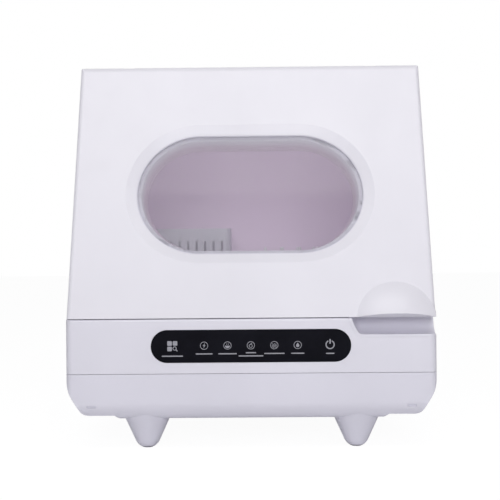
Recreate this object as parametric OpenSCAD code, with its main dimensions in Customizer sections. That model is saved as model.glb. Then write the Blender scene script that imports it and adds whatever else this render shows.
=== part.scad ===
// Countertop dishwasher with a leaning front door that lifts on a hinge along its top edge.
// Millimetres. X runs to the viewer's right, the front faces -Y, and Z is up from the soles.

/* [Overall] */
// Width of the cabinet
body_w = 420; // [380:1:520]
// Depth from the fascia to the rear cover
body_d = 430; // [400:1:520]
// Height of the top panel above the table
body_h = 455; // [430:1:560]
// Thickness of the outer mouldings
skin = 3; // [2.5:0.1:3.6]
// Rounding of the cabinet's upright and top edges
edge_r = 8; // [5:0.5:12]
// Width of the seams between the outer mouldings
seam = 0.8; // [0.4:0.1:1.4]
// Width of the fine seam between the tray and the mouldings over it
tray_seam = 0.4; // [0.2:0.1:0.8]

/* [Base] */
// Height of the plinth under the tray
foot_h = 35.5; // [30:0.5:40]
// Step from the plinth up to the tray's underside
plinth_h = 5; // [3:0.5:7]
// Height of the seam between the tray and the fascia
tray_h = 88; // [84:1:94]
// Height of the door sill
sill_h = 150; // [146:1:180]
// Rounding under the tray's sides
tray_corner_r = 11; // [8:0.5:12]
// Distance from the cabinet's side to the middle of that rounding
tray_corner_in = 25; // [24:0.5:30]
// Rounding under the tray's front and back
tray_front_r = 20; // [14:1:24]
// Distance of a foot's axis from the cabinet's side
foot_in = 89; // [70:1:110]
// Distance of a foot's axis from the front or the back
foot_back = 35; // [34:1:50]
// Radius of a foot's rounded end
foot_tip_r = 15.3; // [14:0.1:16]
// Flare of a foot's side from upright, in degrees
foot_flare = 24.5; // [20:0.5:26]
// Radius of the flat sole of a foot
sole_r = 5.7; // [5:0.1:7]
// Thickness of the rubber pad under a foot
pad_t = 2; // [1.5:0.5:3]
// Depth of the fascia's side returns
fascia_d = 32; // [30:1:34]
// Radius of the finger pocket's trough
grip_r = 20; // [16:0.5:21]
// Length of the finger pocket, which is open at the cabinet's side
grip_w = 100; // [80:1:104]
// Rounding of the finger pocket's closed end
grip_end_r = 7; // [4:0.5:9]

/* [Control panel] */
// Length of the glossy panel
panel_w = 226; // [180:1:272]
// Height of the glossy panel
panel_h = 37; // [30:1:44]
// Thickness of the glossy panel
panel_t = 2; // [1.5:0.1:2.2]
// Distance between two touch keys
key_pitch = 26.5; // [20:0.5:30]
// Distance of each outer key from the middle
key_end = 90; // [80:1:96]

/* [Door] */
// Lean of the door from upright, in degrees
door_lean = 20; // [16:1:22]
// Depth of the outer door moulding
door_d = 22; // [20:1:27]
// Thickness of the inner liner
liner_t = 4; // [3:0.5:5]
// Radius of the rounded hinge edge along the door's top
barrel_r = 10; // [9.5:0.5:12]
// Length of the window pane
window_w = 267; // [200:1:300]
// Height of the window pane along the door
window_h = 150; // [120:1:182]
// Distance from the top of the window pane down to the hinge axis
window_drop = 87; // [80:1:100]
// Thickness of the window pane
pane_t = 4; // [3:0.5:5]
// Width of the bevel round the window
bevel_w = 13.5; // [8:0.5:16]
// Depth of the bevel round the window
bevel_d = 5; // [3:0.5:6]
// Radius of the bulge of the handle
bulge_r = 44.5; // [40:0.5:47]
// Height of the bulge of the handle over the door
bulge_h = 13; // [9:1:15]

/* [Hinge] */
// Distance of each hinge arm from the middle
arm_x = 150; // [120:1:160]
// Width of a hinge arm
arm_w = 12; // [10:1:14]
// Radius of the hinge pin
pin_r = 3; // [2.5:0.1:3.4]
// Radius of the eye round the pin
eye_r = 6.5; // [6:0.1:6.6]
// Radial clearance of the pin in the eye
run_fit = 0.05; // [0.02:0.01:0.08]
// Thickness of the steel hinge beam
beam_t = 3; // [2:0.5:4]

/* [Wash cavity] */
// Inside width of the tub
tub_w = 360; // [330:1:366]
// Thickness of the tub's wall
tub_t = 2.5; // [2:0.1:3]
// Depth of the tub floor's underside below the door sill
floor_drop = 30; // [28:1:31]
// Height of the tub floor's rim
rim_h = 12; // [10:1:14]
// Room between the tub's back wall and the rear cover
back_room = 45; // [45:1:60]
// Room between the tub's ceiling and the top panel
top_room = 47; // [46:1:60]
// Width of the door seal's section
seal_w = 8; // [6:1:10]
// Gap between the closed door and the seal
seat_gap = 0.3; // [0.3:0.1:0.6]

/* [Spray, filter and pumps] */
// Radius swept by the spray arm
spray_r = 160; // [130:1:162]
// Height of the spray arm over the tub floor's underside
spray_rise = 18; // [17:1:20]
// Distance of the filter's axis from the middle
sump_x = 105; // [100:1:112]
// Outside radius of the sump well
sump_r = 42; // [38:1:44]
// Outside radius of the filter cup
cup_r = 26; // [22:1:30]
// Height of the wash pump's axis
pump_h = 80; // [78:1:82]
// Radius of the wash pump's housing
pump_r = 32; // [30:1:34]
// Radius of the drain pump's housing
drain_r = 22; // [20:1:24]

/* [Rack] */
// Width of the rack
rack_w = 330; // [290:1:336]
// Depth of the rack
rack_d = 290; // [250:1:300]
// Height of the rack's lowest wires over the door sill
rack_rise = 16; // [15:1:20]
// Height of the rack's rim over its floor
rack_side = 38; // [30:1:50]
// Radius of the coated wire
wire_r = 1.6; // [1.4:0.1:2]
// Length of the plate tines
tine_l = 62; // [50:1:70]

/* [Rear connections] */
// Radius over the thread of the water inlet
inlet_r = 13.2; // [12:0.1:14]
// Radius of the drain spigot
spigot_r = 9; // [8:0.5:10]
// Radius of the bore for the mains lead
gland_bore_r = 4.2; // [3.5:0.1:5]
// Width of the fan
fan_w = 80; // [60:1:80]

/* [Hidden] */
$fn = 64;

eps = 0.01;
big = 2 * (body_w + body_d + body_h);
tan_lean = tan(door_lean);
cos_lean = cos(door_lean);
sin_lean = sin(door_lean);

// The handle's bulge stands proud of the fascia, and the origin is midway from it to the back
bulge_y = -2;
cap_r = (bulge_r * bulge_r + bulge_h * bulge_h) / (2 * bulge_h);
cap_front = bulge_h - cap_r + sqrt(cap_r * cap_r - pow(seam / cos_lean - bulge_y, 2));
proud = cap_front * cos_lean - seam * tan_lean;
half_w = body_w / 2;
half_d = body_d / 2;
mid_y = proud / 2;
front_y = mid_y - half_d;
back_y = mid_y + half_d;

// The door's own frame lies on its outer face: x across, y up the slope, z outwards
axis_y = (body_h - barrel_r - sill_h + barrel_r * sin_lean) / cos_lean;
axis_z = -barrel_r;
door_w = body_w - 2;
door_back = door_d + liner_t;
window_y = axis_y - window_drop - window_h / 2;
slot_r = eye_r + 0.7;
slot_w = arm_w + 1.6;
boss_w = 8;
gasket_t = 1;
bulge_x = door_w / 2 - bulge_r;

// The cabinet's front edges and the tub's flange lie on planes parallel to the door
cabinet_gap = 1;
flange_z = door_back + 6;
flange_t = 3;
seal_inset = 10;
tub_back_y = back_y - back_room;
ceiling_h = body_h - top_room;
floor_h = sill_h - floor_drop;
floor_top = floor_h + tub_t;
spray_h = floor_h + spray_rise;
rack_h = sill_h + rack_rise;
rim_top = floor_h + rim_h;
opening_low = 24;
opening_high = axis_y - 32;
opening_r = 20;

tray_low = foot_h + plinth_h;
tray_turn = 5;
tray_side_r = tray_h - tray_turn - tray_low - 0.5;
tray_floor = tray_low + skin;
plinth_floor = foot_h + skin;
plinth_half = half_w - 54;
plinth_slope = 6;
plinth_wall = 15;
sole_drop = sqrt(foot_tip_r * foot_tip_r - sole_r * sole_r);
foot_x = half_w - foot_in;
foot_y = half_d - foot_back;
fascia_low = tray_h + tray_seam;
fascia_back = front_y + fascia_d;
panel_h0 = (fascia_low + sill_h) / 2;
cover_y = back_y - skin;
pocket_x0 = 25;
pocket_x1 = 175;
pocket_t = 2;
pocket_low = fascia_low;
pocket_d = 32;
port_h = (floor_h + pocket_low + pocket_t) / 2 + 1;
pocket_high = port_h + 2 * inlet_r;
port_boss = 1.5;
drain_x = 60;
inlet_x = 138;
gland_x = 98;
fan_x = -110;
fan_h = 192;
sump_low = 62;
suction_r = 13;
volute_w = 28;
shaft_r = 4;
rack_front = tub_back_y - 20 - rack_d;
pad_stem_r = 2.5;
pad_stem_h = 4;
tub_post_x = 150;
tub_post_y = 125;
board_x = -105;
board_y = 80;
board_w = 100;
board_d = 80;
board_h = 58;
board_gap = 7;
grip_in = 7;
grip_slant = 32;
grip_fit = 0.05;
fascia_round = 2.5;
board_post_x = panel_w / 2 + 4;
lip_gap = 0.9;
lip_y = door_y(sill_h, 0) + axis_y * sin_lean - axis_z * cos_lean
    + sqrt(pow(barrel_r + lip_gap, 2) - pow(barrel_r - skin, 2));
screw_spots = [for (side = [-1, 1], z = [fascia_low + 22, (fascia_low + body_h) / 2, body_h - 25])
    [side * (half_w - 8.5), z]];
screw_r = 2;
beam_z = axis_z - 34;
heater_r = 48;
rod_r = 3.5;
heater_gap = 20;
rail_h = rack_h - wire_r - 0.3;
catch_x = -150;
spindle_r = 7.5;
nut_h = spray_h + 12;
volute_x = volute_w / 2;
impeller_r = 23;
motor_l = 72;
motor_r = 29;
drain_y = sump_r + 12;
drain_l = 24;
elbow_r = 14;
drain_port_h = port_h - pump_h;
drain_motor_l = 40;
drain_shaft_r = 3;
spigot_l = 18;
valve_half = 12;
fan_y = tub_back_y + tub_t;
fan_t = 25;
fan_axle_r = 3;
web_in = arm_x - slot_w / 2 - boss_w;
web_out = arm_x + slot_w / 2 + boss_w;
tunnel_seat = -bevel_d - pane_t - gasket_t;
cross_z = rack_h + 1.5 * wire_r;
rack_rim_z = rack_h + rack_side;
rack_back = rack_front + rack_d;
cross_n = 7;
runner_n = 9;
upright_r = wire_r + 0.3;
cross_pitch = (rack_d - 12) / (cross_n - 1);
basket_w = 120;
basket_d = 62;
basket_high = 88;
basket_x = -rack_w / 2 + 14;
basket_y = rack_back - 12 - basket_d;

function door_y(z, depth) = front_y + (z - sill_h) * tan_lean + depth / cos_lean;
function door_foot(z) = (seam - z * sin_lean) / cos_lean;

// Shared shapes
module rounded_rect(w, h, r) {
    square([w - 2 * r, h], center = true);
    square([w, h - 2 * r], center = true);
    for (x = [-1, 1], y = [-1, 1])
        translate([x * (w / 2 - r), y * (h / 2 - r)]) circle(r);
}

module rounded_block(w, d, h, r) {
    linear_extrude(h) rounded_rect(w, d, r);
}

// A stadium whose side tapers from radius r1 at the bottom to r2 at the top
module stadium(length, r1, r2, h) {
    for (side = [-1, 1])
        translate([side * length / 2, 0, 0]) cylinder(h = h, r1 = r1, r2 = r2);
    along_x(length)
        polygon([[-r1, 0], [r1, 0], [r2, h], [-r2, h]]);
}

// Extrudes a (y, z) outline along x, evenly about the middle
module along_x(length) {
    rotate([90, 0, 90]) linear_extrude(length, center = true) children();
}

// Extrudes an (x, z) outline along y, evenly about the middle
module along_y(length) {
    rotate([90, 0, 0]) linear_extrude(length, center = true) children();
}

module tube(r, bore, h) {
    difference() {
        cylinder(h = h, r = r);
        translate([0, 0, -1]) cylinder(h = h + 2, r = bore);
    }
}

module on_door() {
    translate([0, front_y, sill_h]) rotate([90 - door_lean, 0, 0]) children();
}

// Everything in front of a plane parallel to the door
module door_space(depth) {
    on_door() translate([-big / 2, -big / 2, -depth]) cube(big);
}

// The tray's outline seen from the front: sides that turn in, and a plinth between the feet
module tray_front_outline(inset) {
    turn_z = tray_h - tray_turn;
    low = tray_low + inset;
    half = plinth_half - (inset > 0 ? plinth_wall : 0);
    hull() for (side = [-1, 1]) {
        translate([side * (half_w - tray_side_r), turn_z]) circle(tray_side_r - inset);
        translate([side * (half_w - tray_corner_in), tray_low + tray_corner_r])
            circle(tray_corner_r - inset);
    }
    translate([inset - half_w, turn_z]) square([body_w - 2 * inset, tray_h - turn_z + 1]);
    polygon([
        [-half, low + 1], [half, low + 1], [half, low], [half - plinth_slope, foot_h + inset],
        [plinth_slope - half, foot_h + inset], [-half, low]
    ]);
}

module tray_side_outline(inset) {
    round_z = foot_h + tray_front_r;
    hull() for (side = [-1, 1])
        translate([side * (half_d - tray_front_r), round_z]) circle(tray_front_r - inset);
    translate([inset - half_d, round_z]) square([body_d - 2 * inset, tray_h - round_z + 1]);
}

module tray_form(inset) {
    translate([0, mid_y, 0]) intersection() {
        along_y(body_d) tray_front_outline(inset);
        along_x(body_w) tray_side_outline(inset);
        rounded_block(body_w - 2 * inset, body_d - 2 * inset, tray_h + (inset > 0 ? 1 : 0),
            edge_r - inset / 2);
    }
}

// A foot: a cone that runs into a sphere which it touches all round
module foot_form(inset) {
    r = foot_tip_r - inset;
    base_z = sole_drop - r * sin(foot_flare);
    base_r = r * cos(foot_flare);
    rise = tray_low + 12 - base_z;
    translate([0, 0, sole_drop]) sphere(r);
    translate([0, 0, base_z]) cylinder(h = rise, r1 = base_r, r2 = base_r + rise * tan(foot_flare));
}

// The part of a foot between two heights
module foot_slice(inset, low, high) {
    intersection() {
        foot_form(inset);
        translate([0, 0, low]) cylinder(h = high - low, r = 3 * foot_tip_r);
    }
}

module at_feet() {
    for (x = [-1, 1], y = [-1, 1])
        translate([x * foot_x, mid_y + y * foot_y, 0]) children();
}

module bottom_tray() {
    groove_w = 10;
    groove_h = 2;
    groove_z = tray_low + 9.5;
    groove_d = 1.8;
    post_r = 6;
    color([0.84, 0.83, 0.88]) difference() {
        union() {
            difference() {
                union() {
                    tray_form(0);
                    at_feet() foot_slice(0, pad_t, tray_low + 6);
                }
                tray_form(skin);
                at_feet() foot_slice(skin, pad_t + skin, tray_low + 12);
            }
            for (x = [-1, 1], y = [-1, 1])
                translate([x * tub_post_x, mid_y + y * tub_post_y, tray_floor - 1])
                    cylinder(h = floor_h - tray_floor + 1, r = post_r);
            for (x = [-1, 1], y = [-1, 1])
                translate([
                    board_x + x * (board_w / 2 - 6), board_y + y * (board_d / 2 - 6), plinth_floor - 1
                ])
                    cylinder(h = board_h - plinth_floor + 1, r = 3);
        }
        at_feet() translate([0, 0, pad_t - 1]) cylinder(h = pad_stem_h + 1, r = pad_stem_r);
        for (side = [-1, 1])
            translate([side * (half_w - 29) - groove_w / 2, front_y - 1, groove_z])
                cube([groove_w, groove_d + 1, groove_h]);
    }
}

module foot_pads() {
    color([0.80, 0.79, 0.84]) at_feet() {
        foot_slice(0, 0, pad_t);
        translate([0, 0, pad_t - 1]) cylinder(h = pad_stem_h + 0.8, r = pad_stem_r);
    }
}

// The trough of the finger pocket: round, with a slanted closed end, and open at the cabinet's side
module grip_trough(extra) {
    core = grip_r - grip_end_r;
    end_r = grip_end_r + extra;
    middle = [core, core * tan(grip_slant) + grip_end_r / cos(grip_slant)];
    turn = (90 - grip_slant) / 12;
    bend = [for (i = [0:12]) middle + end_r * [sin(grip_slant + i * turn), -cos(grip_slant + i * turn)]];
    tip_t = bend[0].y - (bend[0].x - 2) * tan(grip_slant);
    far = grip_w + 1;
    translate([half_w - grip_w, front_y + grip_in, sill_h]) rotate([0, 90, 0]) rotate_extrude()
        polygon(concat([[0, tip_t], [2, tip_t]], bend, [[grip_r + extra, far], [0, far]]));
}

module fascia_form(inset, round_r) {
    low = fascia_low - (inset > 0 ? 1 : 0);
    high = sill_h - inset;
    intersection() {
        translate([0, mid_y, low])
            rounded_block(body_w - 2 * inset, body_d - 2 * inset, high - low, edge_r - inset / 2);
        along_x(body_w) {
            translate([front_y + inset + round_r, low])
                square([body_d / 2, high - low]);
            translate([front_y + inset, low])
                square([body_d / 2, high - low - round_r]);
            translate([front_y + inset + round_r, high - round_r]) circle(round_r);
        }
        translate([-half_w, front_y, low]) cube([body_w, fascia_d, high - low]);
    }
}

module base_fascia() {
    lip = 4;
    color([0.87, 0.86, 0.91]) difference() {
        union() {
            difference() {
                fascia_form(0, fascia_round);
                fascia_form(skin, 1);
                translate([-half_w + skin, fascia_back - eps, fascia_low - 1])
                    cube([body_w - 2 * skin, fascia_d, sill_h - skin - fascia_low + 1]);
            }
            for (side = [-1, 1])
                translate([side * board_post_x, front_y + skin - 1, panel_h0]) rotate([-90, 0, 0])
                    cylinder(h = board_gap + 1, r = 3.5);
        }
        translate([0, 0, eps]) grip_trough(skin + grip_fit);
        translate([0, front_y, panel_h0]) rotate([90, 0, 0]) {
            translate([0, 0, -panel_t])
                stadium(panel_w - panel_h, panel_h / 2 + 0.15, panel_h / 2 + 0.15, panel_t + 1);
            translate([0, 0, -skin - 1])
                stadium(panel_w - panel_h, panel_h / 2 - lip, panel_h / 2 - lip, skin + 2);
        }
    }
}

// The insert that lines the finger pocket, pressed into the fascia
module grip_cup() {
    color([0.87, 0.86, 0.91]) difference() {
        intersection() {
            fascia_form(0, fascia_round);
            grip_trough(skin);
        }
        translate([0, 0, eps]) grip_trough(0);
    }
}

module control_lens() {
    color([0.06, 0.06, 0.09])
        translate([0, front_y, panel_h0]) rotate([90, 0, 0]) translate([0, 0, -panel_t])
            stadium(panel_w - panel_h, panel_h / 2, panel_h / 2, panel_t - 0.1);
}

module control_board() {
    board_t = 1.6;
    pad_y = front_y + panel_t;
    board_front = front_y + skin + board_gap;
    board_low = panel_h0 - 16;
    board_high = sill_h - grip_r - skin - 0.5;
    keys = concat([-key_end], [for (i = [-2:2]) i * key_pitch], [key_end]);
    color([0.15, 0.35, 0.2]) {
        translate([-board_post_x - 4, board_front, board_low])
            cube([2 * board_post_x + 8, board_t, board_high - board_low]);
        for (x = keys)
            translate([x, pad_y, panel_h0]) rotate([-90, 0, 0])
                cylinder(h = board_front - pad_y + 0.5, r = 4);
        translate([-20, board_front + board_t - 0.5, panel_h0 - 12]) cube([40, 5, 16]);
    }
}

module cabinet_form(inset) {
    plan_w = body_w - 2 * inset;
    intersection() {
        along_y(2 * body_d) {
            translate([0, (fascia_low + body_h) / 2 - inset])
                rounded_rect(plan_w, body_h - fascia_low, edge_r - inset / 2);
            translate([-plan_w / 2, fascia_low - (inset > 0 ? 2 : 0)])
                square([plan_w, 60]);
        }
        translate([-half_w, front_y, fascia_low - 2]) cube([body_w, cover_y - front_y, body_h]);
    }
}

module cabinet_shell() {
    color([0.90, 0.89, 0.93]) difference() {
        union() {
            difference() {
                cabinet_form(0);
                difference() {
                    cabinet_form(skin);
                    for (spot = screw_spots)
                        translate([spot.x, cover_y - 18, spot.y]) rotate([-90, 0, 0])
                            cylinder(h = 30, r = 6);
                }
                translate([-half_w - 1, front_y - 1, fascia_low - 3])
                    cube([body_w + 2, fascia_d + seam + 1, sill_h - fascia_low + 3]);
                door_space(door_back + cabinet_gap);
            }
            intersection() {
                cabinet_form(0);
                translate([-half_w, lip_y, body_h - skin]) cube([body_w, body_d / 2, skin]);
            }
        }
        for (spot = screw_spots)
            translate([spot.x, cover_y - 14, spot.y]) rotate([-90, 0, 0])
                cylinder(h = 20, r = screw_r);
    }
}

module rear_cover() {
    slot_h = 4;
    slot_pitch = 8;
    color([0.88, 0.87, 0.91]) difference() {
        union() {
            translate([0, cover_y + skin / 2, 0]) along_y(skin) {
                translate([0, (fascia_low + body_h) / 2])
                    rounded_rect(body_w, body_h - fascia_low, edge_r);
                translate([-half_w, fascia_low]) square([body_w, 60]);
            }
            translate([pocket_x0, back_y - pocket_d, pocket_low])
                cube([pocket_x1 - pocket_x0, pocket_d, pocket_high - pocket_low]);
        }
        translate([pocket_x0 + pocket_t, back_y - pocket_d + pocket_t, pocket_low + pocket_t])
            cube([
                pocket_x1 - pocket_x0 - 2 * pocket_t, pocket_d,
                pocket_high - pocket_low - 2 * pocket_t
            ]);
        for (port = [[drain_x, spigot_r + port_boss], [inlet_x, inlet_r + port_boss],
                [gland_x, gland_bore_r + 3.9]])
            translate([port.x, back_y - pocket_d - 1, port_h]) rotate([-90, 0, 0])
                cylinder(h = pocket_t + 2, r = port.y + 0.2);
        for (i = [-4:4])
            translate([fan_x, cover_y - 1, fan_h + i * slot_pitch]) rotate([-90, 0, 0])
                linear_extrude(skin + 2) rounded_rect(2 * sqrt(40 * 40 - i * i * 60), slot_h, 1.9);
        for (i = [0:9])
            translate([-165 + i * 12, cover_y - 1, pocket_low + 12]) rotate([-90, 0, 0])
                linear_extrude(skin + 2) rounded_rect(4, 20, 1.9);
        for (spot = screw_spots)
            translate([spot.x, cover_y - 1, spot.y]) rotate([-90, 0, 0]) {
                cylinder(h = skin + 2, r = screw_r);
                translate([0, 0, skin - 0.5]) cylinder(h = 2, r = 4);
            }
    }
}

module cover_screws() {
    color([0.7, 0.7, 0.72])
        for (spot = screw_spots)
            translate([spot.x, cover_y - 12, spot.y]) rotate([-90, 0, 0]) {
                cylinder(h = 12 + skin - 1, r = screw_r - 0.05);
                translate([0, 0, 12 + skin - 1.5]) cylinder(h = 1.5, r = 3.8);
            }
}

module hinge_beam() {
    color([0.72, 0.72, 0.74]) on_door() {
        length = body_w - 2 * skin;
        translate([-length / 2, axis_y - 14, beam_z - beam_t]) cube([length, 20, beam_t]);
        translate([-length / 2, axis_y + 6 - beam_t, beam_z - beam_t - 14]) cube([length, beam_t, 16]);
    }
}

module hinge_arms() {
    color([0.7, 0.7, 0.72]) on_door()
        for (side = [-1, 1])
            translate([side * arm_x - arm_w / 2, 0, 0]) difference() {
                union() {
                    translate([0, axis_y, axis_z]) rotate([0, 90, 0]) cylinder(h = arm_w, r = eye_r);
                    translate([0, axis_y - eye_r, beam_z]) cube([arm_w, 2 * eye_r, axis_z - beam_z]);
                }
                translate([-1, axis_y, axis_z]) rotate([0, 90, 0])
                    cylinder(h = arm_w + 2, r = pin_r + run_fit);
            }
}

module tub_profile(inset) {
    low = rim_top - (inset > 0 ? 2 : 0);
    high = ceiling_h + tub_t - inset;
    depth = flange_z + (inset > 0 ? -20 : flange_t - 1);
    polygon([
        [door_y(low, depth), low], [door_y(high, depth), high],
        [tub_back_y + tub_t - inset, high], [tub_back_y + tub_t - inset, low]
    ]);
}

module flange_plate(depth, t) {
    flange_w = body_w - 2 * skin - 1;
    flange_top = axis_y - eye_r - 2.5;
    intersection() {
        on_door() translate([-flange_w / 2, -40, -depth - t]) cube([flange_w, flange_top + 40, t]);
        translate([-half_w, front_y, rim_top]) cube([body_w, body_d, body_h]);
    }
}

module opening_plan(grow, r) {
    w = tub_w + 2 * grow;
    h = opening_high - opening_low + 2 * grow;
    translate([0, (opening_high + opening_low) / 2]) rounded_rect(w, h, r);
}

module tub_shell() {
    duct_r = 33;
    color([0.74, 0.70, 0.76]) difference() {
        union() {
            along_x(tub_w + 2 * tub_t) tub_profile(0);
            flange_plate(flange_z, flange_t);
        }
        difference() {
            along_x(tub_w) tub_profile(tub_t);
            door_space(flange_z + flange_t);
        }
        on_door() translate([0, 0, -flange_z - flange_t - 1])
            linear_extrude(flange_t + 2) opening_plan(0, opening_r);
        translate([fan_x, tub_back_y - 1, fan_h]) rotate([-90, 0, 0])
            cylinder(h = tub_t + 2, r = duct_r);
    }
}

module tub_floor() {
    front = door_y(rim_top, flange_z + flange_t);
    depth = tub_back_y + tub_t - front;
    w = tub_w + 2 * tub_t;
    color([0.74, 0.70, 0.76]) difference() {
        translate([0, front + depth / 2, floor_h]) rounded_block(w, depth, rim_h, 6);
        translate([0, front + depth / 2, floor_top])
            rounded_block(w - 2 * tub_t, depth - 2 * tub_t, rim_h, 4);
        translate([0, 0, floor_h - 1]) cylinder(h = tub_t + 2, r = 12.6);
        translate([sump_x, 0, floor_h - 1]) cylinder(h = tub_t + 2, r = sump_r - 3);
        for (side = [-1, 1])
            rotate([0, 0, 180 + side * heater_gap / 2]) translate([heater_r, 0, floor_h - 1])
                cylinder(h = tub_t + 2, r = rod_r + 0.7);
    }
}

module door_seal() {
    color([0.45, 0.45, 0.48]) on_door() translate([0, 0, -flange_z])
        difference() {
            linear_extrude(flange_z - door_back - seat_gap)
                opening_plan(seal_inset, opening_r + seal_inset);
            translate([0, 0, -1]) linear_extrude(flange_z)
                opening_plan(seal_inset - seal_w, opening_r + seal_inset - seal_w);
        }
}

module rack_rails() {
    rail_w = (tub_w - rack_w) / 2 + 8;
    front = door_y(rail_h, flange_z + flange_t) + 6;
    color([0.74, 0.70, 0.76])
        for (side = [-1, 1])
            translate([side * (tub_w - rail_w) / 2 - rail_w / 2, front, rail_h - 4])
                cube([rail_w, tub_back_y - front - 2, 4]);
}

module door_switch() {
    color([0.3, 0.3, 0.32])
        translate([catch_x - 16, front_y + 10, sill_h - skin - 6]) {
            translate([0, 0, 4]) cube([32, 14, 2]);
            translate([6, 2, 0]) cube([20, 8, 4.5]);
        }
}

module sump_well() {
    suction_l = 12;
    color([0.35, 0.35, 0.38]) difference() {
        union() {
            translate([sump_x, 0, sump_low]) cylinder(h = floor_h - sump_low, r = sump_r);
            translate([sump_x, 0, floor_h - 3]) cylinder(h = 3, r = sump_r + 5);
            translate([sump_x - sump_r - suction_l, 0, pump_h]) rotate([0, 90, 0])
                cylinder(h = suction_l + 6, r = suction_r);
            translate([sump_x, sump_r - 5, pump_h]) rotate([-90, 0, 0])
                cylinder(h = 17, r = 10);
        }
        translate([sump_x, 0, sump_low + 3]) cylinder(h = floor_h, r = sump_r - 3);
        translate([sump_x - sump_r - suction_l - 1, 0, pump_h]) rotate([0, 90, 0])
            cylinder(h = suction_l + 12, r = suction_r - 3);
        translate([sump_x, sump_r - 10, pump_h]) rotate([-90, 0, 0]) cylinder(h = 24, r = 7);
    }
}

module fine_filter() {
    plate_r = sump_r + 2;
    color([0.66, 0.67, 0.69]) translate([sump_x, 0, floor_top]) difference() {
        cylinder(h = 1.5, r = plate_r);
        translate([0, 0, -1]) cylinder(h = 4, r = cup_r + 0.4);
        for (ring = [0, 1], i = [0:29])
            rotate([0, 0, i * 12 + ring * 6]) translate([cup_r + 4.5 + ring * 5, 0, -1])
                cylinder(h = 4, r = 1.4, $fn = 24);
    }
}

module filter_cup() {
    cup_low = sump_low + 8;
    rim_z = floor_top + 1.5 + 0.3;
    wall = 1.8;
    color([0.5, 0.52, 0.55]) translate([sump_x, 0, 0]) difference() {
        union() {
            translate([0, 0, cup_low]) cylinder(h = rim_z + 2 - cup_low, r = cup_r);
            translate([0, 0, rim_z]) cylinder(h = 2, r = cup_r + 3);
        }
        difference() {
            translate([0, 0, cup_low + wall]) cylinder(h = 80, r = cup_r - wall);
            translate([-cup_r, -1.5, rim_z - 10]) cube([2 * cup_r, 3, 14]);
        }
        for (i = [0:11])
            rotate([0, 0, i * 30]) translate([0, -1.2, cup_low + 6]) cube([cup_r + 4, 2.4, 34]);
        translate([-cup_r - 4, -5, rim_z + 2]) cube([2 * cup_r + 8, 10, 20]);
    }
}

module spray_hub() {
    pipe_low = pump_h + pump_r + 4;
    color([0.85, 0.85, 0.87]) difference() {
        union() {
            translate([0, 0, pipe_low]) cylinder(h = spray_h - 0.3 - pipe_low, r = 12.5);
            translate([0, 0, floor_top]) cylinder(h = 4, r = 20);
            cylinder_from(spray_h - 1, nut_h + 4, spindle_r);
        }
        translate([0, 0, pipe_low - 1]) cylinder(h = spray_h, r = 5);
    }
}

module cylinder_from(low, high, r) {
    translate([0, 0, low]) cylinder(h = high - low, r = r);
}

module spray_arm() {
    arm_t = 8;
    color([0.78, 0.79, 0.82]) translate([0, 0, spray_h]) difference() {
        union() {
            cylinder(h = 12 - 0.3, r = 19);
            translate([0, 0, 2]) linear_extrude(arm_t) for (turn = [0, 180])
                rotate(turn) hull() {
                    translate([10, 0]) circle(14);
                    translate([spray_r - 10, 3]) circle(8);
                }
            for (turn = [0, 180])
                rotate([0, 0, turn]) translate([20, -2, 2]) cube([spray_r - 42, 4, arm_t + 1.5]);
        }
        translate([0, 0, -1]) cylinder(h = 20, r = spindle_r + run_fit);
        for (turn = [0, 180], i = [1:4])
            rotate([0, 0, turn]) translate([i * spray_r / 5 + 8, 5 - i % 2 * 8, 6])
                cylinder(h = 12, r = 1.6);
    }
}

module spray_nut() {
    color([0.5, 0.52, 0.56]) translate([0, 0, nut_h]) difference() {
        union() {
            cylinder(h = 7, r = 13);
            for (i = [0:11]) rotate([0, 0, i * 30]) translate([13, 0, 0]) cylinder(h = 6, r = 1.5);
        }
        translate([0, 0, -1]) cylinder(h = 5, r = spindle_r);
    }
}

module heating_element() {
    ring_z = floor_top + 6.5;
    color([0.6, 0.6, 0.62]) {
        translate([0, 0, ring_z]) rotate([0, 0, 180 + heater_gap / 2])
            rotate_extrude(angle = 360 - heater_gap) translate([heater_r, 0]) circle(rod_r);
        for (side = [-1, 1])
            rotate([0, 0, 180 + side * heater_gap / 2]) translate([heater_r, 0, floor_h - 8])
                cylinder(h = ring_z - floor_h + 8 + rod_r + 0.6, r = rod_r + 0.6);
    }
}

module wash_pump_housing() {
    wall = 3;
    color([0.3, 0.3, 0.33]) difference() {
        union() {
            translate([-volute_x, 0, pump_h]) rotate([0, 90, 0]) cylinder(h = volute_w, r = pump_r);
            translate([0, 0, pump_h]) cylinder(h = pump_r + 4, r = 12.5);
            translate([volute_x - 1, 0, pump_h]) rotate([0, 90, 0])
                cylinder(h = 13, r = suction_r);
        }
        translate([-volute_x + wall, 0, pump_h]) rotate([0, 90, 0])
            cylinder(h = volute_w - 2 * wall, r = pump_r - wall);
        translate([0, 0, pump_h + 10]) cylinder(h = pump_r, r = 9);
        translate([volute_x - wall - 1, 0, pump_h]) rotate([0, 90, 0])
            cylinder(h = 20, r = suction_r - 3);
        translate([-volute_x - 1, 0, pump_h]) rotate([0, 90, 0])
            cylinder(h = wall + 2, r = shaft_r + 0.5);
    }
}

module wash_pump_motor() {
    color([0.45, 0.46, 0.48]) translate([-volute_x - motor_l, 0, pump_h]) rotate([0, 90, 0])
        difference() {
            union() {
                cylinder(h = motor_l, r = motor_r);
                for (i = [0:3])
                    translate([0, 0, 12 + i * 14]) cylinder(h = 6, r = motor_r + 1.5);
            }
            translate([0, 0, 10]) cylinder(h = motor_l, r = shaft_r + run_fit);
        }
}

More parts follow.
